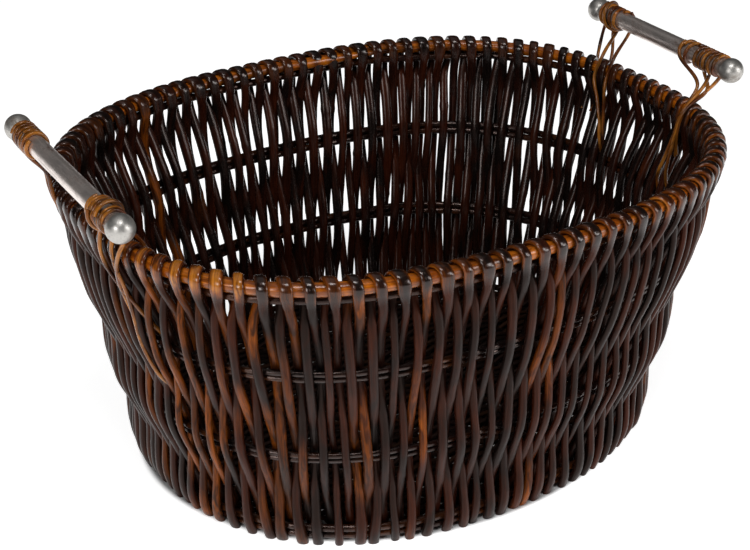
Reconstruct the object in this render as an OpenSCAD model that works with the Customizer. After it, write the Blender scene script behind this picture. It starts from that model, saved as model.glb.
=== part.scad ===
// Wicker log basket: an open oval basket of paired willow stakes looped over a thick rim rod,
// with twin hoops between the two layers of stakes, a woven floor and two lashed bar handles.
// Millimetres, +Z up, +X along the length. The origin is on the floor under the basket's middle.

/* [Basket] */
// Length of the rim between the rim rod's centrelines
rim_length = 500; // [470:5:530]
// Width of the rim between the rim rod's centrelines
rim_width = 400; // [375:5:425]
// Length of the base between the base hoops' centrelines
base_length = 408; // [388:4:428]
// Width of the base between the base hoops' centrelines
base_width = 340; // [324:4:356]
// Height of the rim rod's centreline
rim_height = 232; // [215:1:250]
// Squareness of the rim's oval, where 2 is an ellipse
rim_squareness = 2.55; // [2.3:0.05:2.8]
// Squareness of the base's oval
base_squareness = 2.3; // [2.2:0.05:2.6]

/* [Willow rods] */
// Number of stakes looped over the rim, in steps of the number of stake groups
stake_count = 100; // [80:20:100]
// Diameter of a stake
stake_d = 6.2; // [5:0.2:6.4]
// Diameter of the rim rod
rim_d = 10; // [9:0.5:11]
// Diameter of the thinner hoop under the rim rod
under_rim_d = 6.4; // [5:0.2:7]
// Diameter of each rod of the upper and lower twin hoops
hoop_d = 4.2; // [3.6:0.2:4.6]
// Diameter of each rod of the base twin hoops
base_hoop_d = 6; // [5:0.2:6.4]
// Height midway between the two upper hoops
upper_hoop_height = 158; // [145:1:170]
// Height midway between the two lower hoops
lower_hoop_height = 83; // [70:1:95]
// Height midway between the two base hoops
base_hoop_height = 8.6; // [8:0.2:12]

/* [Floor] */
// Thickness of the woven floor
floor_thickness = 6; // [5:0.5:8]
// Height of the woven floor's top
floor_top = 17; // [16:0.5:22]
// Diameter of the sticks under the woven floor
floor_stick_d = 6; // [4:0.5:6.5]
// Number of sticks under the woven floor
floor_stick_count = 9; // [5:2:11]

/* [Handles] */
// Distance between a handle's ball centres
handle_length = 175; // [160:1:190]
// Outer diameter of a handle's tube
bar_d = 14.4; // [13:0.2:15]
// Wall thickness of a handle's tube
bar_wall = 1.5; // [1:0.1:2]
// Diameter of the ball at each end of a handle
ball_d = 20; // [18:0.5:21]
// Distance of each handle's middle from the basket's middle
handle_reach = 266; // [260:1:280]
// Height of the left handle's middle
left_handle_height = 274; // [268:0.5:285]
// Height of the right handle's middle
right_handle_height = 271; // [268:0.5:285]
// Distance of the handles' middles in front of the basket's middle
handle_forward = 5; // [0:1:8]
// How far the left handle is tipped, with its back end up, in degrees
left_handle_tilt = 2.5; // [0:0.5:3]
// How far the right handle is turned, with its back end out, in degrees
right_handle_skew = 3.5; // [0:0.5:3.5]

/* [Lashings] */
// Diameter of the lashing cane
cane_d = 2.8; // [2:0.2:3.2]
// Distance between neighbouring turns round a handle
turn_pitch = 7.2; // [6.8:0.2:7.6]
// Height where the cane ends are tucked into the wall
tuck_height = 165; // [150:1:180]

/* [Hidden] */
stake_groups = 20;
stakes_per_group = stake_count / stake_groups;
turns = 4;
gap = 0.4;
cane_gap = 0.3;
wrap_gap = 0.2;
turn_margin = 2;
spigot_gap = 0.15;
overlap = 2;
below_floor = 3;
far = 1000;
trace_step = 0.5;
round_fn = 48;
rim_sides = 10;
hoop_sides = 6;
rim_stations = 96;
hoop_stations = 80;
hoop_pitch = hoop_d + gap;
base_hoop_pitch = base_hoop_d + gap;
bar_bore = bar_d - 2 * bar_wall;
ball_face = sqrt(pow(ball_d / 2, 2) - pow(bar_d / 2, 2));
bar_length = handle_length - 2 * ball_face;
spigot_length = 12;
spigot_d = bar_bore - 2 * spigot_gap;
first_turn = bar_length / 2 - turn_margin - cane_d / 2;
lashing_side = bar_d / 2 + wrap_gap + cane_d / 2;

// Offset of a leg's centreline from the wall's middle
leg_offset = rim_d / 2 + stake_d / 2 + gap;
// Offset of a lashing cane that lies on the legs
cane_offset = leg_offset + stake_d / 2 + cane_gap + cane_d / 2;

// Rods' colours
bark = [0.25, 0.16, 0.13];
rim_bark = [0.6, 0.34, 0.12];
dark_bark = [0.15, 0.09, 0.07];
cane_colour = [0.66, 0.42, 0.16];
steel = [0.6, 0.58, 0.56];
bright_steel = [0.72, 0.71, 0.69];

// A point of an oval with half-lengths a and b, at the angle t
function oval(a, b, n, t) =
    [a * sign(cos(t)) * pow(abs(cos(t)), 2 / n), b * sign(sin(t)) * pow(abs(sin(t)), 2 / n)];

// A value that changes evenly from the floor to the rim
function blend(low, high, z) = low + (high - low) * z / rim_height;

// A point of the wall at the angle t and height z, moved outwards along the wall's level normal
function wall(t, z, out = 0) =
    let (a = blend(base_length, rim_length, z) / 2)
    let (b = blend(base_width, rim_width, z) / 2)
    let (n = blend(base_squareness, rim_squareness, z))
    let (p = oval(a, b, n, t))
    let (v = [sign(p.x) * pow(abs(p.x / a), n - 1) / a, sign(p.y) * pow(abs(p.y / b), n - 1) / b])
    [p.x + out * v.x / norm(v), p.y + out * v.y / norm(v), z];

// Distance round the rim against the oval's angle
rim_trace = [for (t = [0:trace_step:360]) wall(t, rim_height)];
rim_steps = concat([for (i = [1:len(rim_trace) - 1]) norm(rim_trace[i] - rim_trace[i - 1])], [0]);
rim_table = [for (i = 0, s = 0; i < len(rim_steps); s = s + rim_steps[i], i = i + 1) [s, i * trace_step]];
rim_round = rim_table[len(rim_table) - 1][0];
stake_pitch = rim_round / stake_count;

// Each stake is turned on its own line, so that its inner leg stands half a pitch before its outer leg
stake_twist = -atan2(stake_pitch / 4, leg_offset);
bend_radius = norm([stake_pitch / 4, leg_offset]);

// The oval's angle at a distance round the rim
function angle_at(s) = lookup((s % rim_round + rim_round) % rim_round, rim_table);

// The oval's angle where the rim reaches the width y, at the right end (side 1) or left end (side -1)
function rim_angle(side, y) =
    let (t = sign(y) * asin(pow(abs(y) / (rim_width / 2), rim_squareness / 2)))
    side > 0 ? t : 180 - t;

// The oval's angle where a cane on the wall's outer face (1) or inner face (-1) reaches the width y
function cane_angle(side, y, face) =
    let (t = rim_angle(side, y))
    let (shift = wall(t, rim_height, face * cane_offset).y - wall(t, rim_height).y)
    rim_angle(side, y - shift);

// Two digits for a node's name
function two_digits(k) = str(k < 10 ? "0" : "", k);

// Names of the nodes made by loops
function stakes_node(k) = str("wall_stakes_", two_digits(k));
function ball_node(h) = str(h[0], "_handle_ball");
function lashing_node(h) = str(h[0], "_lashing");

// Each handle end: its name, its side along X and its side along Y
HANDLE_ENDS = [["left_front", -1, -1], ["left_back", -1, 1], ["right_front", 1, -1], ["right_back", 1, 1]];

// A round rod between two points
module rod(from, to, d) {
    v = to - from;
    translate(from)
        rotate([0, acos(v.z / norm(v)), atan2(v.y, v.x)])
            cylinder(d = d, h = norm(v), $fn = round_fn);
}

// A closed rod that follows the wall's middle at the height z
module wall_ring(z, d, sides, stations) {
    angles = [for (i = [0:stations - 1]) angle_at(i * rim_round / stations)];
    points = [for (t = angles, k = [0:sides - 1])
        let (turn = 360 * (k + 0.5) / sides)
        wall(t, z, d / 2 * cos(turn)) + [0, 0, d / 2 * sin(turn)]];
    faces = [for (i = [0:stations - 1], k = [0:sides - 1])
        let (j = (i + 1) % stations)
        let (m = (k + 1) % sides)
        [i * sides + k, i * sides + m, j * sides + m, j * sides + k]];
    polyhedron(points = points, faces = faces, convexity = 8);
}

// One stake: a hairpin with its bend over the rim rod and a leg down each face of the wall
module stake(s) {
    top = wall(angle_at(s), rim_height);
    foot = wall(angle_at(s), 0);
    along = wall(angle_at(s), rim_height, 1) - top;
    down = (foot - top) / norm(foot - top);
    side = cross(down, along) / norm(cross(down, along));
    face = cross(side, down);
    multmatrix([
        [face.x, side.x, -down.x, top.x],
        [face.y, side.y, -down.y, top.y],
        [face.z, side.z, -down.z, top.z]
    ])
        rotate([0, 0, stake_twist])
            hairpin(norm(foot - top) + below_floor);
}

// A half ring with a straight leg from each end
module hairpin(leg) {
    rotate([90, 0, 0])
        rotate_extrude(angle = 180, $fn = round_fn)
            translate([bend_radius, 0])
                circle(d = stake_d, $fn = round_fn);
    for (x = [-bend_radius, bend_radius])
        translate([x, 0, -leg])
            cylinder(d = stake_d, h = leg, $fn = round_fn);
}

// One group of neighbouring stakes, cut level at the floor
module wall_stakes(k) {
    color(bark)
        intersection() {
            union() {
                for (i = [0:stakes_per_group - 1])
                    stake(((k - 1) * stakes_per_group + i) * stake_pitch);
            }
            translate([-far / 2, -far / 2, 0])
                cube([far, far, far]);
        }
}

module rim_hoop() {
    color(rim_bark)
        wall_ring(rim_height, rim_d, rim_sides, rim_stations);
}

module under_rim_hoop() {
    color(dark_bark)
        wall_ring(rim_height - rim_d / 2 - under_rim_d / 2 - gap, under_rim_d, hoop_sides, hoop_stations);
}

// One rod of a pair of hoops, the top one (side 1) or the bottom one (side -1)
module twin_hoop(z, d, pitch, side) {
    color(dark_bark)
        wall_ring(z + side * pitch / 2, d, hoop_sides, hoop_stations);
}

module upper_hoop_top() {
    twin_hoop(upper_hoop_height, hoop_d, hoop_pitch, 1);
}

module upper_hoop_bottom() {
    twin_hoop(upper_hoop_height, hoop_d, hoop_pitch, -1);
}

module lower_hoop_top() {
    twin_hoop(lower_hoop_height, hoop_d, hoop_pitch, 1);
}

module lower_hoop_bottom() {
    twin_hoop(lower_hoop_height, hoop_d, hoop_pitch, -1);
}

module base_hoop_top() {
    twin_hoop(base_hoop_height, base_hoop_d, base_hoop_pitch, 1);
}

module base_hoop_bottom() {
    twin_hoop(base_hoop_height, base_hoop_d, base_hoop_pitch, -1);
}

// Outline of the space inside the inner legs at the height z
function inner_outline(z) =
    [for (i = [0:hoop_stations - 1])
        let (p = wall(angle_at(i * rim_round / hoop_stations), z, -leg_offset - stake_d / 2 - gap))
        [p.x, p.y]];

module floor_weave() {
    floor_bottom = floor_top - floor_thickness;
    color(dark_bark)
        translate([0, 0, floor_bottom])
            linear_extrude(height = floor_thickness)
                polygon(inner_outline(floor_bottom));
}

module floor_sticks() {
    z = floor_top - floor_thickness - gap - floor_stick_d / 2;
    reach = base_length / 2 - leg_offset - stake_d;
    half_width = base_width / 2 - leg_offset - stake_d;
    spacing = 2 * reach / (floor_stick_count + 1);
    color(bark)
        for (i = [1:floor_stick_count]) {
            x = i * spacing - reach;
            y = half_width * pow(1 - pow(abs(x) / reach, base_squareness), 1 / base_squareness);
            rod([x, -y, z], [x, y, z], floor_stick_d);
        }
}

// Turns and moves a handle from its own frame, where the bar lies along Y, to its place
function handle_tilt(side) = side < 0 ? left_handle_tilt : 0;
function handle_skew(side) = side < 0 ? 0 : right_handle_skew;
function handle_height(side) = side < 0 ? left_handle_height : right_handle_height;
function handle_middle(side) = [side * handle_reach, -handle_forward, handle_height(side)];

// A point of a handle's own frame, in the basket's frame
function handle_point(side, p) =
    let (tilt = handle_tilt(side))
    let (skew = -handle_skew(side))
    let (q = [p.x, p.y * cos(tilt) - p.z * sin(tilt), p.y * sin(tilt) + p.z * cos(tilt)])
    handle_middle(side) + [q.x * cos(skew) - q.y * sin(skew), q.x * sin(skew) + q.y * cos(skew), q.z];

module on_handle(side) {
    translate(handle_middle(side))
        rotate([handle_tilt(side), 0, -handle_skew(side)])
            children();
}

module handle_bar(side) {
    color(steel)
        on_handle(side)
            rotate([90, 0, 0])
                difference() {
                    cylinder(d = bar_d, h = bar_length, center = true, $fn = round_fn);
                    cylinder(d = bar_bore, h = bar_length + overlap, center = true, $fn = round_fn);
                }
}

module left_handle_bar() {
    handle_bar(-1);
}

module right_handle_bar() {
    handle_bar(1);
}

// A ball with a flat face against the bar's end and a spigot inside the bar
module handle_ball(side, end) {
    color(bright_steel)
        on_handle(side)
            rotate([end > 0 ? -90 : 90, 0, 0])
                translate([0, 0, bar_length / 2])
                    union() {
                        intersection() {
                            translate([0, 0, ball_face])
                                sphere(d = ball_d, $fn = round_fn);
                            cylinder(d = ball_d + overlap, h = ball_d + overlap, $fn = round_fn);
                        }
                        translate([0, 0, -spigot_length])
                            cylinder(d = spigot_d, h = spigot_length + overlap, $fn = round_fn);
                    }
}

// The turns of cane round a handle's end, and the ties from them down both faces of the wall
module lashing(side, end) {
    last_turn = first_turn - (turns - 1) * turn_pitch;
    middle = (first_turn + last_turn) / 2;
    color(cane_colour) {
        on_handle(side)
            for (i = [0:turns - 1])
                translate([0, end * (first_turn - i * turn_pitch), 0])
                    rotate([90, 0, 0])
                        rotate_extrude($fn = round_fn)
                            translate([lashing_side, 0])
                                circle(d = cane_d, $fn = round_fn);
        for (tie = [-1, 1], face = [-1, 1]) {
            start = handle_point(side, [side * face * lashing_side, end * (middle + tie * turn_pitch), 0]);
            t = cane_angle(side, start.y, face);
            over = wall(t, rim_height + cane_d, face * cane_offset);
            tuck = wall(t, tuck_height, face * cane_offset);
            rod(start, over, cane_d);
            translate(over)
                sphere(d = cane_d + 2 * cane_gap, $fn = round_fn);
            rod(over, tuck, cane_d);
        }
    }
}

rim_hoop();
under_rim_hoop();
upper_hoop_top();
upper_hoop_bottom();
lower_hoop_top();
lower_hoop_bottom();
base_hoop_top();
base_hoop_bottom();
floor_weave();
floor_sticks();
left_handle_bar();
right_handle_bar();
for (h = HANDLE_ENDS) {
    handle_ball(h[1], h[2]);
    lashing(h[1], h[2]);
}
for (k = [1:stake_groups])
    wall_stakes(k);
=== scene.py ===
import math

import bpy
import numpy as np
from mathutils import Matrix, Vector


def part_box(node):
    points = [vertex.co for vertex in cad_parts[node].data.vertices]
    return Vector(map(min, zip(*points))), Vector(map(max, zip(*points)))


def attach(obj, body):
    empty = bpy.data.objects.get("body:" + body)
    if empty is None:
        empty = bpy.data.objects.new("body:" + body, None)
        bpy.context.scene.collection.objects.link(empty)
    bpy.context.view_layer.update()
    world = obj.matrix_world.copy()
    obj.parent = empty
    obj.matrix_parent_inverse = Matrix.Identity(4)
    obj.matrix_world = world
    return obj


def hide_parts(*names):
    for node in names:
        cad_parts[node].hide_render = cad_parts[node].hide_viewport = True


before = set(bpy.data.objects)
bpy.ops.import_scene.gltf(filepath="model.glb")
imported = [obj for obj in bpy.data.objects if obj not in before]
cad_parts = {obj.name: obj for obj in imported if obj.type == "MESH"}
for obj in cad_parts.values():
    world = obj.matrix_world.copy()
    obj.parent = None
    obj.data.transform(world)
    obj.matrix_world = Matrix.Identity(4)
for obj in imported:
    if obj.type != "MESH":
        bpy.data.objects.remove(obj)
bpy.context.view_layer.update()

# Wicker log basket: woven willow stakes looped over a rim rod, twin hoops, a woven floor, and two
# steel bar handles lashed on with split cane. Lengths are in metres, heights are above the floor,
# and a "place" is the distance round the rim, counter-clockwise from the right end.

MM = 0.001
TURN = 2 * math.pi

# Everything random comes from these two, in one fixed order
SEED = 20
draw = np.random.default_rng(SEED)
foot_draw = np.random.default_rng(SEED + 1)


# ---------------------------------------------------------------- the frame's hoops and the wall

class Ring:
    """The oval centreline of a CAD hoop whose section has that many sides."""

    def __init__(self, node, sides):
        low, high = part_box(node)
        self.radius = (high.z - low.z) / 2
        side = self.radius * math.cos(math.pi / sides)
        self.half_length = high.x - side
        self.half_width = high.y - side
        self.z = (low.z + high.z) / 2


RIM = Ring("rim_hoop", sides=10)
UNDER_RIM = Ring("under_rim_hoop", sides=6)
UPPER, LOWER, BASE = [
    [Ring(f"{level}_hoop_{which}", sides=6) for which in ("top", "bottom")]
    for level in ("upper", "lower", "base")
]
RIM_SQUARENESS = 2.55
BASE_SQUARENESS = 2.3


def oval_point(angle, half_length, half_width, squareness):
    """Points of an oval that is squarer than an ellipse where the squareness is above 2."""
    c, s = np.cos(angle), np.sin(angle)
    power = 2 / squareness
    return half_length * np.sign(c) * np.abs(c) ** power, half_width * np.sign(s) * np.abs(s) ** power


def wall(angle, z, out=0.0):
    """Points of the wall at the oval's angle and the height, moved out along the level normal."""
    angle, z, out = np.broadcast_arrays(np.asarray(angle, float), z, out)
    share = (z - BASE[1].z) / (RIM.z - BASE[1].z)
    a = BASE[1].half_length + (RIM.half_length - BASE[1].half_length) * share
    b = BASE[1].half_width + (RIM.half_width - BASE[1].half_width) * share
    n = BASE_SQUARENESS + (RIM_SQUARENESS - BASE_SQUARENESS) * share
    x, y = oval_point(angle, a, b, n)
    nx = np.sign(x) * np.abs(x / a) ** (n - 1) / a
    ny = np.sign(y) * np.abs(y / b) ** (n - 1) / b
    size = np.hypot(nx, ny)
    return np.stack([x + out * nx / size, y + out * ny / size, z], -1)


def lengths_along(points):
    """How far along a path each of its points is."""
    return np.concatenate([[0], np.cumsum(np.linalg.norm(np.diff(points, axis=0), axis=1))])


TRACE_STEPS = 3600
TRACE_ANGLES = np.linspace(0, TURN, TRACE_STEPS + 1)
TRACE_PLACES = lengths_along(wall(TRACE_ANGLES, RIM.z))
ROUND = TRACE_PLACES[-1]


def angle_at(place):
    """The oval's angle at a place round the rim."""
    return np.interp(np.mod(place, ROUND), TRACE_PLACES, TRACE_ANGLES)


def place_at(side, y):
    """The place where the right end (side 1) or left end (side -1) of the rim reaches the width y."""
    angle = math.copysign(math.asin((abs(y) / RIM.half_width) ** (RIM_SQUARENESS / 2)), y)
    return float(np.interp(angle % TURN if side > 0 else math.pi - angle, TRACE_ANGLES, TRACE_PLACES))


def on_wall(place, z, out):
    """Points of the wall at a place and the height, moved out along the level normal."""
    return wall(angle_at(place), z, out)


# ---------------------------------------------------------------------------- curves and noise

RIPPLE_WAVES = 3


def through(keys, at):
    """A smooth curve through keys of (place, value), read at the places in at."""
    x, y = np.array(keys, float).T
    slope = np.gradient(y, x)
    i = np.clip(np.searchsorted(x, at) - 1, 0, len(x) - 2)
    step = x[i + 1] - x[i]
    t = (at - x[i]) / step
    start = (1 + 2 * t) * (1 - t) ** 2 * y[i] + t * (1 - t) ** 2 * step * slope[i]
    return start + t * t * (3 - 2 * t) * y[i + 1] + t * t * (t - 1) * step * slope[i + 1]


def smooth_path(points, spacing):
    """A smooth curve through a few points, with even stations."""
    points = np.array(points, float)
    places = lengths_along(points)
    at = np.linspace(0, places[-1], max(4, int(places[-1] / spacing)))
    return np.stack([through(np.stack([places, points[:, k]], 1), at) for k in range(3)], 1)


def ripple(at, size, wavelength):
    """Gentle random waves of about that size and wavelength along a rod."""
    total = np.zeros(len(at))
    for _ in range(RIPPLE_WAVES):
        total += np.sin(TURN * at / (wavelength * draw.uniform(0.6, 1.6)) + draw.uniform(0, TURN))
    return size * total / math.sqrt(RIPPLE_WAVES)


def ramp(value, low, high):
    """0 below low and 1 above high, with a smooth change between them."""
    t = np.clip((value - low) / (high - low), 0, 1)
    return t * t * (3 - 2 * t)


def bell(value, middle, reach):
    """1 at the middle, and nearly 0 at more than twice the reach from it."""
    return np.exp(-((value - middle) / reach) ** 2)


# -------------------------------------------------------------------------------- swept rods

SHARP_ANGLE = math.radians(50)
GRAIN_LENGTH = 40.0


class Bundle:
    """Rods gathered into one mesh, with what their material reads at each point: grain, the place
    on the straightened rod, and tone, its redness, warmth and gloss."""

    def __init__(self):
        self.points, self.faces, self.grain, self.tone = [], [], [], []
        self.count = 0

    def rod(self, path, across, width, depth, tone, sides=10, square=0.0):
        """A rod along the path. Its section is width by depth, and the width lies along across. The
        section is an ellipse where square is 0 and a rounded band where it is 1. Its grain starts
        at a random place along a long length of grain."""
        path, across = np.asarray(path, float), np.asarray(across, float)
        n = len(path)
        ahead = np.gradient(path, axis=0)
        ahead /= np.linalg.norm(ahead, axis=1)[:, None]
        across = across - ahead * np.sum(across * ahead, 1)[:, None]
        across /= np.linalg.norm(across, axis=1)[:, None]
        up = np.cross(ahead, across)
        turn = TURN * np.arange(sides) / sides
        c, s = np.cos(turn), np.sin(turn)
        power = 1 / (1 + np.broadcast_to(square, n))[:, None]
        wide = np.broadcast_to(width, n)[:, None] / 2 * np.sign(c) * np.abs(c) ** power
        deep = np.broadcast_to(depth, n)[:, None] / 2 * np.sign(s) * np.abs(s) ** power
        points = path[:, None] + wide[..., None] * across[:, None] + deep[..., None] * up[:, None]
        along = lengths_along(path) + draw.uniform(0, GRAIN_LENGTH)
        grain = np.stack([wide, deep, np.broadcast_to(along[:, None], (n, sides))], -1)
        tone = np.asarray(tone, float)
        tone = tone if tone.ndim == 3 else np.broadcast_to(np.atleast_2d(tone)[:, None], (n, sides, 3))
        ring = self.count + np.arange(n - 1)[:, None] * sides
        k = np.arange(sides)
        beside = (k + 1) % sides
        corners = [ring + k, ring + beside, ring + sides + beside, ring + sides + k]
        self.faces += np.stack(corners, -1).reshape(-1, 4).tolist()
        self.faces.append((self.count + k[::-1]).tolist())
        self.faces.append((self.count + (n - 1) * sides + k).tolist())
        self.points.append(points.reshape(-1, 3))
        self.grain.append(grain.reshape(-1, 3))
        self.tone.append(tone.reshape(-1, 3))
        self.count += n * sides

    def piece(self, name, material, slot, *nodes):
        """The finished piece, which rides on the basket and stands for the CAD nodes."""
        mesh = bpy.data.meshes.new(name)
        mesh.from_pydata(np.concatenate(self.points).tolist(), [], self.faces)
        grain = mesh.attributes.new("grain", "FLOAT_VECTOR", "POINT")
        grain.data.foreach_set("vector", np.concatenate(self.grain).astype(np.float32).ravel())
        tone = np.concatenate(self.tone)
        tone = np.concatenate([tone, np.ones((len(tone), 1))], 1)
        colour = mesh.attributes.new("tone", "FLOAT_COLOR", "POINT")
        colour.data.foreach_set("color", tone.astype(np.float32).ravel())
        mesh.shade_smooth()
        mesh.set_sharp_from_angle(angle=SHARP_ANGLE)
        mesh.materials.append(material)
        mesh.update()
        made = bpy.data.objects.new(name, mesh)
        bpy.context.scene.collection.objects.link(made)
        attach(made, "root")
        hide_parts(*nodes)


# -------------------------------------------------------------------------------- materials

class Shader:
    """A material with a Principled shader, and short calls that add nodes to it."""

    def __init__(self, name):
        self.material = bpy.data.materials.new(name)
        self.material.use_nodes = True
        self.tree = self.material.node_tree
        self.surface = self.tree.nodes["Principled BSDF"]

    def put(self, value, socket):
        """Sets a socket to a value or links an output to it."""
        if isinstance(value, bpy.types.NodeSocket):
            self.tree.links.new(value, socket)
        else:
            socket.default_value = value

    def set(self, **values):
        for name, value in values.items():
            self.put(value, self.surface.inputs[name.replace("_", " ")])

    def attribute(self, name):
        node = self.tree.nodes.new("ShaderNodeAttribute")
        node.attribute_name = name
        return node

    def noise(self, vector, across, along, detail=3.0, distortion=0.0):
        """Noise on a rod, with that many features a metre across and along it."""
        scaled = self.tree.nodes.new("ShaderNodeVectorMath")
        scaled.operation = "MULTIPLY"
        self.put(vector, scaled.inputs[0])
        scaled.inputs[1].default_value = (across, across, along)
        node = self.tree.nodes.new("ShaderNodeTexNoise")
        self.put(scaled.outputs[0], node.inputs["Vector"])
        node.inputs["Scale"].default_value = 1.0
        node.inputs["Detail"].default_value = detail
        node.inputs["Distortion"].default_value = distortion
        return node.outputs["Fac"]

    def math(self, operation, a, b=0.0, clamp=False):
        node = self.tree.nodes.new("ShaderNodeMath")
        node.operation = operation
        node.use_clamp = clamp
        self.put(a, node.inputs[0])
        self.put(b, node.inputs[1])
        return node.outputs[0]

    def between(self, value, low, high, to_low=0.0, to_high=1.0):
        """The value's range low to high, smoothly mapped to another range."""
        node = self.tree.nodes.new("ShaderNodeMapRange")
        node.interpolation_type = "SMOOTHSTEP"
        ends = {"From Min": low, "From Max": high, "To Min": to_low, "To Max": to_high}
        for name, number in ends.items():
            node.inputs[name].default_value = number
        self.put(value, node.inputs["Value"])
        return node.outputs["Result"]

    def mix(self, factor, a, b, blend="MIX"):
        node = self.tree.nodes.new("ShaderNodeMix")
        node.data_type = "RGBA"
        node.blend_type = blend
        for value, socket in ((factor, node.inputs[0]), (a, node.inputs[6]), (b, node.inputs[7])):
            value = (*value, 1.0) if isinstance(value, tuple) else value
            self.put(value, socket)
        return node.outputs[2]

    def grey(self, value):
        node = self.tree.nodes.new("ShaderNodeCombineColor")
        for socket in node.inputs:
            self.put(value, socket)
        return node.outputs[0]

    def bump(self, height, distance):
        node = self.tree.nodes.new("ShaderNodeBump")
        node.inputs["Distance"].default_value = distance
        self.put(height, node.inputs["Height"])
        self.put(node.outputs["Normal"], self.surface.inputs["Normal"])


WARM_SHINE = (1.0, 0.66, 0.56, 1.0)
GOLDEN = (0.52, 0.18, 0.02)
SCUFF_STRENGTH = 0.35
COAT_ROUGHNESS = 0.2
BARK_RELIEF = 0.35 * MM
STEEL_RELIEF = 0.06 * MM


def darker(colour, share):
    return tuple(share * part for part in colour)


def willow(name, dark, red, warm, dull, glossy, shine, coat=0.0, streaking=0.42):
    """Stained willow bark. The colours are its dark, red-brown and peeled orange parts, and dull
    and glossy are its roughness where the gloss is 0 and 1. Warmth above 1 turns it golden, and
    streaking is how strongly the grain lightens and darkens it."""
    s = Shader(name)
    grain = s.attribute("grain").outputs["Vector"]
    split = s.tree.nodes.new("ShaderNodeSeparateColor")
    s.put(s.attribute("tone").outputs["Color"], split.inputs[0])
    redness, warmth, gloss = split.outputs
    patches = s.noise(grain, across=130, along=34, detail=2.0, distortion=0.6)
    streaks = s.noise(grain, across=1100, along=42, detail=4.0, distortion=0.3)
    specks = s.noise(grain, across=1500, along=420)
    flakes = s.noise(grain, across=260, along=60, distortion=0.8)
    reddening = s.between(patches, 0.3, 0.7, to_low=-0.35, to_high=0.35)
    red_share = s.math("ADD", redness, reddening, clamp=True)
    colour = s.mix(red_share, dark, red)
    peeling = s.between(flakes, 0.33, 0.6, to_low=0.15)
    warm_share = s.math("MULTIPLY", warmth, peeling, clamp=True)
    colour = s.mix(warm_share, colour, warm)
    golden_share = s.math("MULTIPLY", s.between(warmth, 1.0, 1.7), peeling)
    colour = s.mix(golden_share, colour, GOLDEN)
    shade = s.between(streaks, 0.25, 0.75, to_low=0.95 - streaking, to_high=0.95 + streaking)
    colour = s.mix(1.0, colour, s.grey(shade), blend="MULTIPLY")
    scuffs = s.math("MULTIPLY", s.between(specks, 0.66, 0.78), SCUFF_STRENGTH)
    colour = s.mix(scuffs, colour, darker(dark, 0.25))
    roughness = s.math("ADD", s.math("MULTIPLY", gloss, glossy - dull), dull)
    unevenness = s.between(specks, 0.3, 0.8, to_low=-0.05, to_high=0.1)
    roughness = s.math("ADD", roughness, unevenness, clamp=True)
    s.set(Base_Color=colour, Roughness=roughness, Specular_IOR_Level=shine, Specular_Tint=WARM_SHINE)
    coat_weight = s.math("MULTIPLY", s.math("MULTIPLY", gloss, gloss), coat, clamp=True)
    s.set(Coat_Weight=coat_weight, Coat_Roughness=COAT_ROUGHNESS)
    relief = s.math("ADD", s.math("MULTIPLY", streaks, 0.7), s.math("MULTIPLY", specks, 0.3))
    s.bump(relief, BARK_RELIEF)
    return s.material


def steel(name, bright, tarnish, spread, roughness, brushed, metal):
    """Brushed steel with brown tarnish where the noise is above the spread, dark scratches and
    pits. Brushed is how strong the scratches are."""
    s = Shader(name)
    grain = s.attribute("grain").outputs["Vector"]
    stains = s.noise(grain, across=60, along=24, detail=4.0, distortion=0.5)
    blots = s.noise(grain, across=420, along=170, detail=4.0, distortion=0.4)
    lines = s.noise(grain, across=900, along=26, detail=5.0)
    pits = s.noise(grain, across=1100, along=700, detail=2.0)
    share = s.between(stains, spread - 0.06, spread + 0.2)
    share = s.math("MULTIPLY", share, s.between(blots, 0.3, 0.62, to_low=0.15), clamp=True)
    colour = s.mix(share, bright, tarnish)
    scratches = s.math("MULTIPLY", s.between(lines, 0.55, 0.72), brushed)
    colour = s.mix(scratches, colour, darker(bright, 0.35))
    colour = s.mix(s.between(pits, 0.7, 0.78, to_high=0.6), colour, darker(tarnish, 0.3))
    s.set(Base_Color=colour, Metallic=s.math("SUBTRACT", metal, s.math("MULTIPLY", share, 0.4)))
    dullness = s.between(lines, 0.2, 0.8, to_low=roughness - 0.05, to_high=roughness + 0.12)
    s.set(Roughness=s.math("ADD", dullness, s.math("MULTIPLY", share, 0.2), clamp=True))
    relief = s.math("SUBTRACT", s.math("MULTIPLY", lines, 0.5 * brushed), s.between(pits, 0.66, 0.78))
    s.bump(relief, STEEL_RELIEF)
    return s.material


BARK = willow(
    "stake bark",
    dark=(0.007, 0.0042, 0.0035), red=(0.042, 0.0085, 0.003), warm=(0.22, 0.052, 0.004),
    dull=0.36, glossy=0.16, shine=0.17, coat=0.8)
RIM_BARK = willow(
    "peeled rim willow",
    dark=(0.03, 0.007, 0.002), red=(0.24, 0.048, 0.003), warm=(0.56, 0.150, 0.006),
    dull=0.3, glossy=0.2, shine=0.36, coat=0.55, streaking=0.3)
HOOP_BARK = willow(
    "dark hoop willow",
    dark=(0.005, 0.0032, 0.003), red=(0.016, 0.005, 0.0035), warm=(0.16, 0.045, 0.009),
    dull=0.3, glossy=0.18, shine=0.35, coat=0.3)
# Painted shade: a much darker copy of the willow than the stakes', standing for the shade inside the
# basket
SHADED_FLOOR_BARK = willow(
    "floor willow in painted shade",
    dark=(0.004, 0.0025, 0.002), red=(0.010, 0.004, 0.003), warm=(0.04, 0.014, 0.004),
    dull=0.7, glossy=0.5, shine=0.12)
CANE = willow(
    "split cane",
    dark=(0.02, 0.005, 0.0015), red=(0.15, 0.034, 0.004), warm=(0.50, 0.18, 0.022),
    dull=0.28, glossy=0.18, shine=0.3, coat=0.8, streaking=0.35)
BAR_STEEL = steel(
    "brushed pewter steel", bright=(0.86, 0.77, 0.72), tarnish=(0.13, 0.075, 0.055),
    spread=0.47, roughness=0.3, brushed=0.75, metal=0.9)
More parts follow.
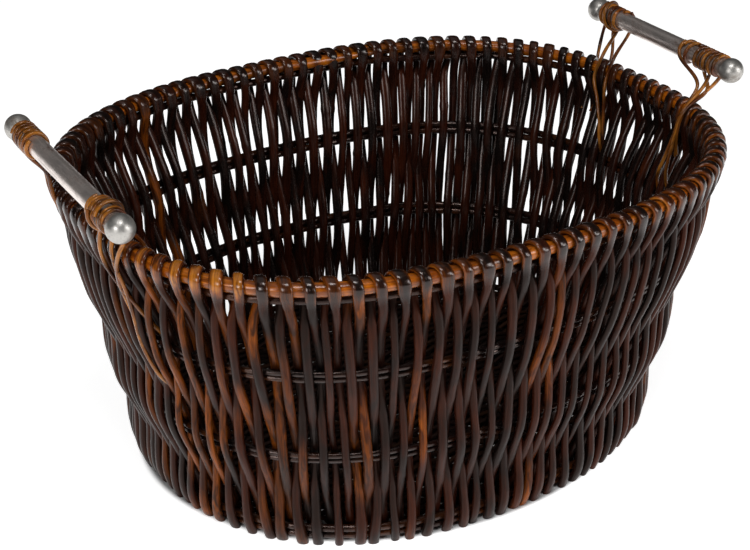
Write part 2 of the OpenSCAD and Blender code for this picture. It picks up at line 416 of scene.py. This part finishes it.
BALL_STEEL = steel(
    "polished pitted steel", bright=(0.52, 0.50, 0.47), tarnish=(0.14, 0.10, 0.07),
    spread=0.55, roughness=0.38, brushed=0.45, metal=0.9)


# ------------------------------------------------------------------------------ woven stakes

STAKE_COUNT = 100
GROUPS = 20
PITCH = ROUND / STAKE_COUNT
STAKE_RADIUS = 3.1 * MM
STATION = 4 * MM
SIDES = 14
LOOP_WIDTH = 8.3 * MM
LOOP_DEPTH = 3.9 * MM
LOOP_RADIUS = RIM.radius + LOOP_DEPTH / 2 + 0.1 * MM
LOOP_LEAN = 2.4 * MM
LOOP_SHIFT = 0.6 * MM
LOOP_STEPS = 13
FLAT_FROM = RIM.z - 16 * MM
CROWN_FROM = RIM.z - 9 * MM
CROWN_FULL = RIM.z - 1 * MM
FOOT_SWELL = 0.22
FOOT_STRAY = 2.6 * MM
KNOT_REACH = 2.6 * MM
INNER_GLOSS = 0.6
OUTER_GLOSS = 0.1
LOOP_GLOSS = 0.95

# What each stake's measures are drawn from. The feet's heights and the widths are in millimetres
FEET_MM = (-1.2, 1.4)
WIDTHS_MM = (7.2, 9.5)
TAPERS = (0.86, 0.97)
THINNESS = (0.74, 0.9)
KNOT_COUNTS = (2, 6)
KNOT_SWELLS = (0.06, 0.16)
LOOP_WIDTHS = (0.85, 1.2)

# How much warmer the edges of the loops are than their middles: less round the back half of the
# rim, and on golden loops cooler and darker instead, a painted shade of their rounded sides
WEAR = (0.4, 1.4)
BACK_WEAR = 0.25
GOLDEN_EDGE_SHADE = -1.7

# Stretches of places round the rim: thinner stakes along the front, bulky loops at the back left,
# and golden loops at the front left
SLIM_FROM, SLIM_TO, SLIM = 0.72, 1.33, 0.78
CHUNKY_FROM, CHUNKY_TO, CHUNKY = 0.4, 0.785, 1.18
GOLDEN_FROM, GOLDEN_TO = 0.785, 0.902

# Where most stakes show peeled orange bark, as (middle, reach, share of the stakes)
WARM_REGIONS = [(0.865, 0.075, 0.6), (1.02, 0.05, 0.2)]
WARM_ELSEWHERE = 0.03

UPPER_Z = (UPPER[0].z + UPPER[1].z) / 2
LOWER_Z = (LOWER[0].z + LOWER[1].z) / 2
BASE_Z = (BASE[0].z + BASE[1].z) / 2
HOOP_TOUCH = UPPER[0].radius + STAKE_RADIUS + 0.9 * MM
BASE_TOUCH = BASE[0].radius + STAKE_RADIUS + 0.2 * MM
UNDER_TOUCH = UNDER_RIM.radius + STAKE_RADIUS + 0.2 * MM

# How far each leg stands out from the wall's middle, as keys of (height, out). The outer leg hangs
# from the rim's outer side and the inner leg from its inner side. Between them they pass every pair
# of hoops on both faces, and change sides in between
BELOW_RIM = [
    (0.0, 0.7 * BASE_TOUCH),
    (BASE_Z, BASE_TOUCH),
    (50 * MM, 0.0),
    (LOWER_Z, -HOOP_TOUCH),
    (121 * MM, 0.0),
    (UPPER_Z, HOOP_TOUCH),
]
OUTER_LEG = [(z, -out) for z, out in BELOW_RIM] + [
    (196 * MM, 0.4 * MM), (UNDER_RIM.z - 3 * MM, UNDER_TOUCH), (RIM.z, LOOP_RADIUS)]
INNER_LEG = BELOW_RIM + [
    (206 * MM, 1.5 * MM), (UNDER_RIM.z - 6.5 * MM, -3.2 * MM), (UNDER_RIM.z + 1.5 * MM, -UNDER_TOUCH),
    (RIM.z, -LOOP_RADIUS)]

SPREAD = 11 * MM
DRIFT_WAVES = 9
DRIFT_FIELD = [
    (draw.integers(4, 26), draw.uniform(-40, 40), draw.uniform(0, TURN), draw.uniform(0.5, 1.1) * MM)
    for _ in range(DRIFT_WAVES)
]


def drift(place, z):
    """How far the stakes near a place stray sideways at a height. They spread towards the basket's
    ends on the way down, and stray in waves that run round the wall."""
    total = -SPREAD * np.sin(2 * TURN * place / ROUND) * (1 - z / RIM.z)
    for waves, rate, start, size in DRIFT_FIELD:
        wave = np.sin(TURN * waves * place / ROUND + rate * z + start)
        total = total + size * wave * ramp(RIM.z - z, 0, 30 * MM)
    return total


def warm_chance(place):
    """How many of the stakes near a place show peeled orange bark."""
    shares = [share * bell(place, middle, reach) for middle, reach, share in WARM_REGIONS]
    return WARM_ELSEWHERE + sum(shares)


def leg(place, keys, side, z):
    """The points of one leg at the heights z. It strays sideways between the rim and its foot."""
    stray = draw.uniform(-0.7, 0.7) * MM + ripple(z, 0.45 * MM, 90 * MM)
    stray = stray * ramp(RIM.z - z, 2 * MM, 25 * MM)
    stray = stray + foot_draw.uniform(-1, 1) * FOOT_STRAY * (1 - ramp(z, 0, 40 * MM))
    lean = LOOP_LEAN + (PITCH / 4 - LOOP_LEAN) * ramp(RIM.z - z, 0, 30 * MM)
    places = place + side * lean + drift(place + side * lean, z) + stray
    out = through(keys, z) + ripple(z, 0.25 * MM, 60 * MM)
    return on_wall(places, z, out)


def stake_path(place):
    """The stake's path: up its outer leg, over the rim and down its inner leg."""
    feet = [draw.uniform(*FEET_MM) * MM for _ in range(2)]
    rises = [np.linspace(foot, RIM.z, int(RIM.z / STATION)) for foot in feet]
    outer = leg(place, OUTER_LEG, 1, rises[0])
    inner = leg(place, INNER_LEG, -1, rises[1])
    bend = np.linspace(0, math.pi, LOOP_STEPS)[1:-1]
    loop = on_wall(place + LOOP_LEAN * np.cos(bend), RIM.z, LOOP_RADIUS * np.cos(bend))
    loop[:, 2] += LOOP_RADIUS * np.sin(bend)
    return np.concatenate([outer, loop, inner[::-1]])


def stake_section(place, height, along):
    """The stake's width, depth and flatness. It tapers, swells at its knots and feet, and is
    flattened into a band where it passes over the rim."""
    flat = ramp(height, FLAT_FROM, CROWN_FULL)
    taper = np.linspace(1, draw.uniform(*TAPERS), len(along))[:: draw.choice([-1, 1])]
    slim = SLIM if SLIM_FROM < place < SLIM_TO else 1.0
    size = draw.uniform(*WIDTHS_MM) * MM * slim * taper * (1 + ripple(along, 0.025, 45 * MM))
    size = size * (1 + FOOT_SWELL * (1 - ramp(height, 8 * MM, 45 * MM)))
    for knot in draw.uniform(0, along[-1], draw.integers(*KNOT_COUNTS)):
        size = size * (1 + draw.uniform(*KNOT_SWELLS) * bell(along, knot, KNOT_REACH))
    chunky = CHUNKY if CHUNKY_FROM < place < CHUNKY_TO else 1.0
    width = size + (draw.uniform(*LOOP_WIDTHS) * chunky * LOOP_WIDTH - size) * flat
    thin = size * draw.uniform(*THINNESS)
    depth = thin + (LOOP_DEPTH * chunky - thin) * flat
    return width, depth, flat


def stake_tone(place, height, along):
    """The stake's tone, round each section. Its inner faces are glossier than its outer ones, and
    its loop is glossy all round, with rubbed, warmer edges, or on golden loops darker edges, a painted
    shade."""
    golden = GOLDEN_FROM < place < GOLDEN_TO
    redness = np.clip(draw.beta(1.2, 1.6) + ripple(along, 0.22, 110 * MM), 0, 1)
    chance = warm_chance(place)
    warmth = np.clip(ripple(along, 0.5, 120 * MM) + draw.uniform(-0.9, 0.5) + 1.1 * chance, 0, 1)
    peeled = draw.random() < 0.15 + 1.2 * chance
    warmth = warmth * peeled
    crown = ramp(height, CROWN_FROM, CROWN_FULL)
    loop_warmth = draw.uniform(1.0, 1.9) if golden else draw.choice([0.0, 0.0, 0.0, 0.2])
    warmth = warmth + (loop_warmth - warmth) * crown
    loop_redness = 0.9 if golden else draw.uniform(0, 0.35)
    redness = redness + (loop_redness - redness) * crown
    # Golden loops get darker edges, a painted shade of their rounded sides; other loops get rubbed,
    # warmer edges
    edge_wear_and_shade = GOLDEN_EDGE_SHADE if golden else draw.uniform(*WEAR) * (BACK_WEAR if place < CHUNKY_TO else 1.0)
    section = TURN * np.arange(SIDES) / SIDES
    edge = np.abs(np.cos(section)) ** 3
    way = np.where(np.arange(len(along)) < len(along) / 2, 1, -1)[:, None]
    gloss = np.where(way * np.sin(section) > 0, INNER_GLOSS, OUTER_GLOSS)
    glossy = ramp(height, FLAT_FROM, RIM.z - 4 * MM)[:, None]
    tone = np.empty((len(along), SIDES, 3))
    tone[:, :, 0] = redness[:, None]
    tone[:, :, 1] = np.clip(warmth[:, None] + edge_wear_and_shade * crown[:, None] * edge, 0, 2)
    tone[:, :, 2] = gloss + (LOOP_GLOSS - gloss) * glossy
    return tone


def stake(bundle, number):
    """One stake. What reaches below the ground is pressed flat onto it."""
    place = (number * PITCH - LOOP_SHIFT) % ROUND
    path = stake_path(place)
    height = path[:, 2]
    along = lengths_along(path)
    width, depth, flat = stake_section(place, height, along)
    tone = stake_tone(place, height, along)
    across = on_wall(place + 1 * MM, RIM.z, 0) - on_wall(place - 1 * MM, RIM.z, 0)
    bundle.rod(path, across, width, depth, tone, sides=SIDES, square=0.1 + 0.25 * flat)
    bundle.points[-1][:, 2] = np.maximum(bundle.points[-1][:, 2], 0)


def wall_stakes():
    per_group = STAKE_COUNT // GROUPS
    for group in range(GROUPS):
        bundle = Bundle()
        for i in range(per_group):
            stake(bundle, group * per_group + i)
        number = f"{group + 1:02d}"
        bundle.piece(f"willow_stakes_{number}", BARK, "stake_willow", f"wall_stakes_{number}")


# ------------------------------------------------------------------------------ rods of the hoops

HOOP_LAP = 34 * MM
HOOP_STATION = 5 * MM
RIM_STATION = 2 * MM
HOOP_KNOTS = 9
END_SIZE = 0.45
TWIN_APART = 0.6 * MM
TWIN_SWELL = 0.1
BACK_SWELL = 0.35


def hoop(name, node, ring, material, slot, tone, splice, wobble, sides=14, loop_shadow=0.0, twin=0):
    """A hoop rod that follows the wall, with its tapered ends lapped at the splice's place. Loop shadow
    is how much darker it is painted under the loops than between them, a painted shadow of the loops.
    Twin is 1 for the upper of two rods and -1 for the lower: along the back, twins are thicker and lie
    a little further apart."""
    station = RIM_STATION if loop_shadow else HOOP_STATION
    along = np.linspace(-HOOP_LAP, ROUND + HOOP_LAP, int(ROUND / station))
    from_end = np.minimum(along + HOOP_LAP, ROUND + HOOP_LAP - along)
    half = np.where(along < ROUND / 2, -1, 1)
    beside = half * ring.radius * 0.9 * (1 - ramp(from_end, 1.6 * HOOP_LAP, 3.2 * HOOP_LAP))
    taper = END_SIZE + (1 - END_SIZE) * ramp(from_end, 0, 1.8 * HOOP_LAP)
    at_back = abs(twin) * ramp(np.sin(TURN * (splice + along) / ROUND), 0, 0.5)
    out = beside + ripple(along, wobble, 130 * MM)
    z = ring.z + ripple(along, wobble, 160 * MM) + twin * TWIN_APART * at_back
    path = on_wall(splice + along, z, out)
    size = 2 * ring.radius * taper * (1 + ripple(along, 0.015, 70 * MM))
    size = size * (1 + abs(twin) * TWIN_SWELL + BACK_SWELL * at_back)
    for knot in draw.uniform(0, ROUND, HOOP_KNOTS):
        size = size * (1 + 0.07 * bell(along, knot, 4 * MM))
    redness = np.clip(tone[0] + ripple(along, 0.3, 140 * MM), 0, 1)
    warmth = tone[1] + ripple(along, 0.25, 110 * MM)
    # Painted shadow: the rod's colour is darkened where the loops lie over it
    under_loop = np.cos(math.pi * (splice + along + LOOP_SHIFT) / PITCH) ** 2
    redness = redness * (1 - loop_shadow * under_loop)
    warmth = np.clip(warmth * (1 - loop_shadow * under_loop), 0, 1)
    tones = np.stack([redness, warmth, np.full(len(path), tone[2])], 1)
    bundle = Bundle()
    bundle.rod(path, (0, 0, 1), size, size, tones, sides=sides)
    bundle.piece(name, material, slot, node)


# Each pair of hoops: its level, its rings, whether it is loose along the back, the place of its
# upper rod's splice, and its tone. The lower rod's splice is a step further round
TWINS = [
    ("upper", UPPER, True, 0.55, (0.3, 0.0, 0.9)),
    ("lower", LOWER, True, 0.25, (0.4, 0.0, 0.9)),
    ("base", BASE, False, 0.45, (0.6, 0.2, 0.8)),
]
SPLICE_STEP = 0.2


def hoops():
    hoop("rim_rod", "rim_hoop", RIM, RIM_BARK, "rim_willow",
         tone=(0.8, 0.75, 1.0), splice=0.3, wobble=0.15 * MM, sides=24, loop_shadow=0.88)
    hoop("under_rim_rod", "under_rim_hoop", UNDER_RIM, HOOP_BARK, "hoop_willow",
         tone=(0.5, 0.1, 0.6), splice=0.2, wobble=0.2 * MM, sides=16)
    for level, rings, loose, splice, tone in TWINS:
        for ring, which, way in zip(rings, ("top", "bottom"), (1, -1)):
            hoop(f"{level}_rod_{which}", f"{level}_hoop_{which}", ring, HOOP_BARK, "hoop_willow",
                 tone, splice, wobble=0.25 * MM, twin=way if loose else 0)
            splice += SPLICE_STEP


# ------------------------------------------------------------------------------ woven floor

FLOOR_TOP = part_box("floor_weave")[1].z
FLOOR_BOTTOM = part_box("floor_sticks")[0].z
FLOOR_MIDDLE = (FLOOR_TOP + FLOOR_BOTTOM) / 2
STICK_COUNT = 9
STICK_RADIUS = 2.6 * MM
WEAVER_RADIUS = 1.9 * MM
WEAVER_PITCH = 4.1 * MM
FLOOR_EDGE = 9 * MM
STICK_STATIONS = 60
STICK_TONE = (0.5, 0.1, 0.3)
WEAVER_STATION = 5 * MM
WEAVE_FLATNESS = 1.6


def floor_span(value, half, other_half):
    """Half the oval floor's span at a distance from its middle line."""
    inside = 1 - (abs(value) / half) ** BASE_SQUARENESS
    return other_half * max(inside, 0) ** (1 / BASE_SQUARENESS)


def floor_sticks(reach, half_width, spacing):
    """Pairs of sticks that run from front to back."""
    sticks = Bundle()
    for i in range(1, STICK_COUNT + 1):
        x = i * spacing - reach
        end = floor_span(x, reach, half_width)
        for beside in (-1, 1):
            y = np.linspace(-end, end, STICK_STATIONS)
            place = x + beside * 1.15 * STICK_RADIUS + ripple(y, 0.3 * MM, 90 * MM)
            path = np.stack([place, y, np.full(STICK_STATIONS, FLOOR_MIDDLE)], 1)
            size = 2 * STICK_RADIUS * (1 + ripple(y, 0.03, 60 * MM))
            sticks.rod(path, (1, 0, 0), size, size, STICK_TONE)
    sticks.piece("floor_stick_rods", SHADED_FLOOR_BARK, "floor_willow", "floor_sticks")


def floor_weavers(reach, half_width, spacing):
    """Rows of fine rods that pass over and under the pairs of sticks, each row the other way."""
    weave = Bundle()
    rows = int(2 * half_width / WEAVER_PITCH)
    for row in range(1, rows):
        y = row * WEAVER_PITCH - half_width
        end = floor_span(y, half_width, reach)
        x = np.linspace(-end, end, max(8, int(2 * end / WEAVER_STATION)))
        over = np.cos(math.pi * (x + reach) / spacing) * (1 if row % 2 else -1)
        rise = (STICK_RADIUS + WEAVER_RADIUS * 0.85) * np.tanh(WEAVE_FLATNESS * over)
        rise = rise / math.tanh(WEAVE_FLATNESS)
        path = np.stack([x, y + ripple(x, 0.25 * MM, 80 * MM), FLOOR_MIDDLE + rise], 1)
        size = 2 * WEAVER_RADIUS * (1 + ripple(x, 0.03, 50 * MM))
        tone = (draw.uniform(0.1, 0.9), draw.choice([0.0, 0.0, 0.4]), 0.6)
        weave.rod(path, (0, 1, 0), size, size, tone, sides=8)
    weave.piece("floor_woven_rods", SHADED_FLOOR_BARK, "floor_willow", "floor_weave")


def woven_floor():
    reach = BASE[0].half_length - FLOOR_EDGE
    half_width = BASE[0].half_width - FLOOR_EDGE
    spacing = 2 * reach / (STICK_COUNT + 1)
    floor_sticks(reach, half_width, spacing)
    floor_weavers(reach, half_width, spacing)


# ------------------------------------------------------------------------------ handles

BAR_RADIUS = (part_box("left_handle_bar")[1].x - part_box("left_handle_bar")[0].x) / 2
CANE_RADIUS = 1.55 * MM
CANE_STATION = 2 * MM
COIL_STATIONS = 28
BAR_STATIONS = 120
BALL_STATIONS = 34
STEEL_SIDES = 64
STEEL_TONE = (0.5, 0.0, 0.5)

# The neck between ball and bar: places as shares of the ball's radius, sizes of the bar's
NECK_PLACES = np.array([0.735, 0.8, 0.86])
NECK_SIZES = np.array([1.02, 1.03, 0.98])


class Handle:
    """A handle's ball centres and directions. Side is 1 at the right and -1 at the left."""

    def __init__(self, name, side):
        self.name, self.side = name, side
        low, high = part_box(f"{name}_back_handle_ball")
        self.ball_radius = (high.x - low.x) / 2
        self.back = Vector(((low.x + high.x) / 2, high.y - self.ball_radius, (low.z + high.z) / 2))
        low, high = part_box(f"{name}_front_handle_ball")
        self.front = Vector(((low.x + high.x) / 2, low.y + self.ball_radius, (low.z + high.z) / 2))
        self.along = (self.back - self.front).normalized()
        self.length = (self.back - self.front).length
        self.out = (Vector((side, 0, 0)) - self.along * self.along.x * side).normalized()
        self.up = Vector((0, 0, 1)) - self.along * self.along.z
        self.up.normalize()

    def point(self, end, inwards, angle, radius):
        """Points round the bar: inwards from the ball's centre at that end (1 back, -1 front), at an
        angle from straight out towards up."""
        origin = np.array(self.back if end > 0 else self.front)
        along = -end * np.array(self.along)
        angle, inwards = np.asarray(angle, float), np.asarray(inwards, float)
        level = np.cos(angle)[..., None] * np.array(self.out)
        upright = np.sin(angle)[..., None] * np.array(self.up)
        return origin + inwards[..., None] * along + np.asarray(radius)[..., None] * (level + upright)


HANDLES = [Handle("left", -1), Handle("right", 1)]
END_WORDS = {-1: "front", 1: "back"}


def handle_bar(handle):
    """The brushed bar, which is faintly uneven and ends where it meets the balls."""
    reach = math.sqrt(handle.ball_radius ** 2 - BAR_RADIUS ** 2)
    inwards = np.linspace(reach, handle.length - reach, BAR_STATIONS)
    path = handle.point(-1, inwards, 0, 0)
    size = 2 * BAR_RADIUS * (1 + ripple(inwards, 0.004, 40 * MM))
    size[[0, -1]] *= 0.97
    bundle = Bundle()
    bundle.rod(path, handle.out, size, size, STEEL_TONE, sides=STEEL_SIDES)
    bundle.piece(f"{handle.name}_bar", BAR_STEEL, "handle_steel", f"{handle.name}_handle_bar")


def handle_ball(handle, end):
    """A ball that is drawn in to a short neck with a bead where it meets the bar."""
    radius = handle.ball_radius
    neck = math.acos(0.93 * BAR_RADIUS / radius) - math.pi / 2
    turn = np.linspace(0, math.pi / 2 - neck, BALL_STATIONS)
    inwards = np.concatenate([-radius * np.cos(turn), radius * NECK_PLACES])
    size = np.concatenate([radius * np.sin(turn), BAR_RADIUS * NECK_SIZES])
    size[0] = 0.02 * radius
    path = handle.point(end, inwards, 0, 0)
    bundle = Bundle()
    bundle.rod(path, handle.out, 2 * size, 2 * size, STEEL_TONE, sides=STEEL_SIDES)
    at = f"{handle.name}_{END_WORDS[end]}"
    bundle.piece(f"{at}_ball", BALL_STEEL, "ball_steel", f"{at}_handle_ball")


def cane_rod(bundle, path, across, warmth):
    """A strand of split cane: wider than it is thick, with small swells."""
    n = len(path)
    along = np.linspace(0, n * CANE_STATION, n)
    width = 2 * CANE_RADIUS * (1.02 + ripple(along, 0.06, 25 * MM))
    depth = 2 * CANE_RADIUS * (0.95 + ripple(along, 0.04, 30 * MM))
    redness = np.clip(0.45 + ripple(along, 0.45, 40 * MM), 0, 1)
    warmth = np.clip(warmth + ripple(along, 0.4, 50 * MM), 0, 1)
    tone = np.stack([redness, warmth, np.full(n, 0.7)], 1)
    bundle.rod(path, across, width, depth, tone, sides=10)


def coil(bundle, handle, end, start, finish, turns, layer, warmth):
    """Turns of cane round the bar, from start to finish inwards from the ball's centre."""
    angle = np.linspace(0, TURN * turns, int(COIL_STATIONS * turns)) + draw.uniform(-0.4, 0.4)
    inwards = start + (finish - start) * np.linspace(0, 1, len(angle)) + ripple(angle, 0.35 * MM, 5)
    radius = BAR_RADIUS + CANE_RADIUS * (0.9 + 1.6 * layer)
    path = handle.point(end, inwards, angle, radius * np.ones(len(angle)))
    cane_rod(bundle, path, handle.along, warmth)


# The angles at which a tie passes round the bar before it leaves it, over either side
OUTER_TURN = (1.0, 0.0, -0.8)
INNER_TURN = (1.8, 2.2, 2.6)


def tie(bundle, handle, end, inwards, face, way, warmth):
    """A strand from the bar to the rim and on down the wall. It leaves the bar over its outer side
    where face is 1 and over its inner side where it is -1. Its way is a list of (y, height, out
    from the wall's middle), in millimetres."""
    turn = np.array(OUTER_TURN if face > 0 else INNER_TURN)
    radius = (BAR_RADIUS + CANE_RADIUS * 1.1) * np.ones(len(turn))
    points = list(handle.point(end, inwards, turn, radius))
    for y, height, out in way:
        points.append(on_wall(place_at(handle.side, y * MM), height * MM, out * MM))
    path = smooth_path(points, CANE_STATION)
    cane_rod(bundle, path, (0, 1, 0), warmth)


# Each lashing, by its handle and end: its turns round the bar as (start, finish, turns, layer),
# and its ties as (inwards, face, way). Start, finish and inwards are from the ball's centre, in
# millimetres
LASHINGS = {
    ("left", -1): (
        [(10, 16, 2.1, 0), (24, 34, 3.2, 0), (16, 27, 1.0, 1)],
        [
            (18, 1, [(-67, 248, 9), (-62, 238, 11.5), (-56, 226, 12), (-51, 213, 11), (-48, 193, 8),
                     (-50, 174, 5), (-52, 156, -3)]),
            (24, 1, [(-57, 250, 10), (-55, 238, 12), (-53, 222, 11.5), (-54, 204, 9.5), (-53, 180, 8.5),
                     (-53, 157, 8.5), (-59, 130, 5), (-62, 112, -4)]),
            (29, 1, [(-43, 248, 10), (-40, 236, 12), (-38, 222, 11.5), (-46, 207, 10), (-55, 196, 8),
                     (-61, 180, 3), (-64, 164, -4)]),
            (22, 1, [(-58, 248, -4), (-58, 238, -10), (-58, 220, -12), (-60, 196, -10), (-62, 172, -7),
                     (-64, 156, 0)]),
        ],
    ),
    ("left", 1): (
        [(10, 35, 5.0, 0), (30, 38, 1.2, 0)],
        [
            (20, 1, [(57, 250, 8), (57, 240, 9), (56, 228, 8.5), (55, 215, 4), (55, 209, -3)]),
            (30, 1, [(49, 250, 8), (48, 240, 9), (48, 228, 8.5), (49, 215, 4), (50, 209, -3)]),
            (14, 1, [(61, 246, -4), (60, 238, -10), (58, 220, -12), (52, 198, -10), (48, 174, -7),
                     (46, 160, 0)]),
            (26, 1, [(49, 246, -4), (48, 238, -10), (47, 220, -12), (46, 198, -10), (45, 174, -7),
                     (45, 160, 0)]),
        ],
    ),
    ("right", 1): (
        [(10, 36, 4.3, 0), (12, 33, 1.0, 1)],
        [
            (5, 1, [(61, 240, 11), (60, 224, 10), (60, 208, 7), (59, 194, -2)]),
            (16, 1, [(47, 241, 11), (47, 224, 10), (48, 208, 7), (49, 194, -2)]),
            (24, 1, [(44, 243, -6), (43, 229, -12), (36, 211, -11), (29, 193, -10), (25, 175, -8),
                     (24, 161, -1)]),
            (39, 1, [(31, 243, -6), (29, 226, -12), (26, 208, -11), (24, 194, -10), (22, 176, -7),
                     (22, 160, 0)]),
        ],
    ),
    ("right", -1): (
        [(10, 40, 5.2, 0), (44, 53, 1.3, 0)],
        [
            (54, -1, [(-69, 252, 0), (-73, 243, -6), (-76, 230, -11), (-76, 214, -10), (-74, 196, -4)]),
            (38, 1, [(-78, 250, 2), (-77, 243, -5), (-76, 233, -11), (-76, 205, -11), (-75, 180, -8),
                     (-74, 162, 0)]),
            (28, 1, [(-75, 253, 0), (-75, 244, -6), (-75, 234, -11), (-73, 214, -11), (-69, 196, -10),
                     (-63, 176, -8), (-59, 158, 0)]),
            (15, 1, [(-77, 250, 2), (-76, 244, -4), (-75, 234, -11), (-76, 214, -10), (-75, 198, -4)]),
        ],
    ),
}


def lashing(handle, end):
    bundle = Bundle()
    coils, ties = LASHINGS[handle.name, end]
    for start, finish, turns, layer in coils:
        coil(bundle, handle, end, start * MM, finish * MM, turns, layer, draw.uniform(0.3, 0.7))
    for inwards, face, way in ties:
        tie(bundle, handle, end, inwards * MM, face, way, draw.uniform(0.2, 0.6))
    at = f"{handle.name}_{END_WORDS[end]}"
    bundle.piece(f"{at}_cane_lashing", CANE, "cane", f"{at}_lashing")


def handles():
    for handle in HANDLES:
        handle_bar(handle)
        for end in END_WORDS:
            handle_ball(handle, end)
            lashing(handle, end)


# ------------------------------------------------------------------------------ studio

VIEW_TURN = math.radians(-32.4)
VIEW_RISE = math.radians(28.0)
VIEW_DISTANCE = 1.228
VIEW_AIM = Vector((-0.0183, 0, 0.1243))
LENS = 73.8
LENS_SHIFT = (0.0035, 0.001)

LIGHTS_AIM = (0, 0, 0.12)
# Each softbox: name, place, width and height, watts
SOFTBOXES = [
    ("left softbox", (-2.3, -1.3, 1.2), (0.6, 0.8), 20),
    ("right softbox", (1.1, -2.4, 1.3), (0.6, 0.8), 16),
    ("low softbox", (1.6, -2.1, 0.65), (0.7, 0.4), 9),
    ("high softbox", (-0.5, -0.8, 2.4), (0.7, 0.35), 16),
    ("top softbox", (-0.2, 0.5, 2.3), (2.4, 1.8), 4),
]
AMBIENT = 0.015

FLOOR_REACH = 6.0
FLOOR_COLOUR = (0.8, 0.8, 0.8, 1)
FLOOR_GLOW = 0.85
# Where the floor starts to glow and glows in full, as shares of the base hoops' half length and width;
# inside it stays unlit, a painted shadow under the basket
GLOW_FROM, GLOW_FULL = 1.035, 1.065


def aimed(name, data, place, aim):
    """A camera or light at the place, turned towards the aim."""
    made = bpy.data.objects.new(name, data)
    made.location = place
    made.rotation_euler = (Vector(aim) - Vector(place)).to_track_quat("-Z", "Y").to_euler()
    bpy.context.scene.collection.objects.link(made)
    return made


def camera():
    data = bpy.data.cameras.new("camera")
    data.lens = LENS
    data.shift_x, data.shift_y = LENS_SHIFT
    level = math.cos(VIEW_RISE)
    towards = Vector((math.sin(VIEW_TURN) * level, -math.cos(VIEW_TURN) * level, math.sin(VIEW_RISE)))
    bpy.context.scene.camera = aimed("camera", data, VIEW_AIM + VIEW_DISTANCE * towards, VIEW_AIM)


def softbox(name, place, size, power):
    data = bpy.data.lights.new(name, "AREA")
    data.shape = "RECTANGLE"
    data.size, data.size_y = size
    data.energy = power
    aimed(name, data, place, LIGHTS_AIM)


def studio_floor():
    """Bright paper that glows evenly, but not where the basket stands: there it is left unlit, a
    painted shadow under the basket.
    """
    mesh = bpy.data.meshes.new("studio floor")
    corners = [(-1, -1), (1, -1), (1, 1), (-1, 1)]
    mesh.from_pydata([(x * FLOOR_REACH, y * FLOOR_REACH, 0) for x, y in corners], [], [(0, 1, 2, 3)])
    floor = bpy.data.objects.new("studio_floor", mesh)
    bpy.context.scene.collection.objects.link(floor)
    paper = Shader("pale paper")
    scaled = paper.tree.nodes.new("ShaderNodeVectorMath")
    scaled.operation = "MULTIPLY"
    scaled.inputs[1].default_value = (1 / BASE[1].half_length, 1 / BASE[1].half_width, 0)
    paper.put(paper.tree.nodes.new("ShaderNodeTexCoord").outputs["Object"], scaled.inputs[0])
    length = paper.tree.nodes.new("ShaderNodeVectorMath")
    length.operation = "LENGTH"
    paper.put(scaled.outputs[0], length.inputs[0])
    # Painted shadow: no glow inside the base's oval, so the floor is dark under the basket
    glow = paper.between(length.outputs["Value"], GLOW_FROM, GLOW_FULL, 0.0, FLOOR_GLOW)
    paper.set(Base_Color=FLOOR_COLOUR, Roughness=0.9, Specular_IOR_Level=0.1)
    paper.set(Emission_Color=(1, 1, 1, 1), Emission_Strength=glow)
    mesh.materials.append(paper.material)


def studio():
    world = bpy.data.worlds.new("studio")
    world.use_nodes = True
    background = world.node_tree.nodes["Background"]
    background.inputs["Color"].default_value = (1, 1, 1, 1)
    background.inputs["Strength"].default_value = AMBIENT
    bpy.context.scene.world = world
    bpy.context.scene.view_settings.view_transform = "Standard"
    for name, place, size, power in SOFTBOXES:
        softbox(name, place, size, power)
    studio_floor()


wall_stakes()
hoops()
woven_floor()
handles()
camera()
studio()

bpy.context.view_layer.update()
